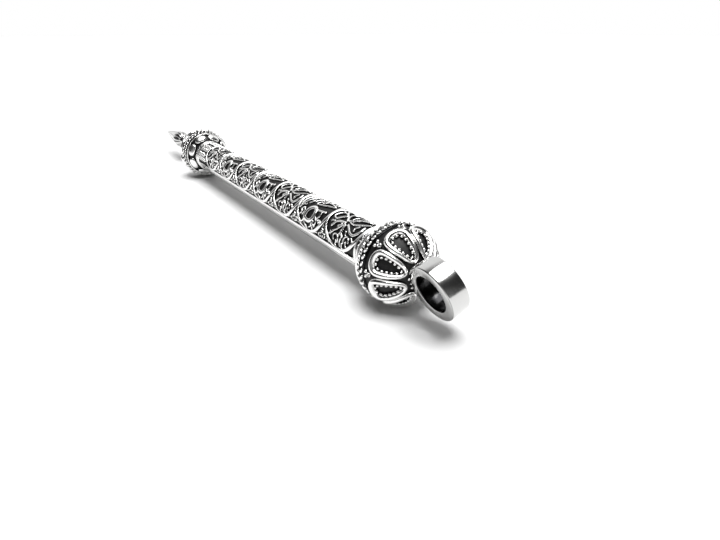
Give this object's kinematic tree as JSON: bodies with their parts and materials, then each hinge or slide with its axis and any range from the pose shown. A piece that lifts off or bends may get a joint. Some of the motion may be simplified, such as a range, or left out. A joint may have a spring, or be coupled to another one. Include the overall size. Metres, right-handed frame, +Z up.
{
  "type": "mezuzah case",
  "caption": "Slim silver filigree mezuzah case: tube between two filigree balls, pull-off cap with bail ring, pointed finial, rolled parchment inside.",
  "frame": {"origin": "middle of the bounding box, on the surface the case lies on", "axes": "+X along the case from the finial to the bail, +Z up; the patterned front is rolled 22.5 degrees from +Z towards -Y, as the case lies on two petals of each ball"},
  "size_m": [0.1462, 0.0126, 0.0126],
  "materials": {
    "filigree_silver": "rubbed bright silver wire",
    "polished_silver": "polished silver",
    "oxidised_silver": "blackened silver",
    "parchment": "matt",
    "linen_tape": "matt"
  },
  "bodies": {
    "case": {"liner_tube": "oxidised_silver", "liner_floor": "oxidised_silver", "back_shell": "polished_silver", "front_lattice": "filigree_silver", "tree_wires": "filigree_silver", "eye_wires": "filigree_silver", "corner_scrolls": "filigree_silver", "open_collar": "filigree_silver", "closed_collar": "filigree_silver", "finial_neck": "polished_silver", "finial_point": "polished_silver", "end_core_outer": "oxidised_silver", "end_core_inner": "oxidised_silver", "end_petals": "filigree_silver", "end_bead_loops": "filigree_silver", "end_leaves": "filigree_silver", "end_rope_rings": "filigree_silver", "end_bezel": "polished_silver", "end_grains": "filigree_silver"},
    "cap": {"cap_shoulder": "polished_silver", "cap_spigot": "polished_silver", "bail_seat": "filigree_silver", "bail_ring": "polished_silver", "cap_core_outer": "oxidised_silver", "cap_core_inner": "oxidised_silver", "cap_petals": "filigree_silver", "cap_bead_loops": "filigree_silver", "cap_leaves": "filigree_silver", "cap_rope_rings": "filigree_silver", "cap_bezel": "polished_silver", "cap_grains": "filigree_silver"},
    "scroll": {"parchment_scroll": "parchment", "parchment_tie": "linen_tape"}
  },
  "joints": [
    {"name": "cap_pull", "type": "slide", "parent": "case", "child": "cap", "axis": [1, 0, 0], "range_m": [0, 0.11]},
    {"name": "scroll_draw", "type": "slide", "parent": "case", "child": "scroll", "axis": [1, 0, 0], "range_m": [0, 0.088]}
  ],
  "couplings": [
    {"joint": "scroll_draw", "follows": "cap_pull", "ratio": 0.8}
  ]
}
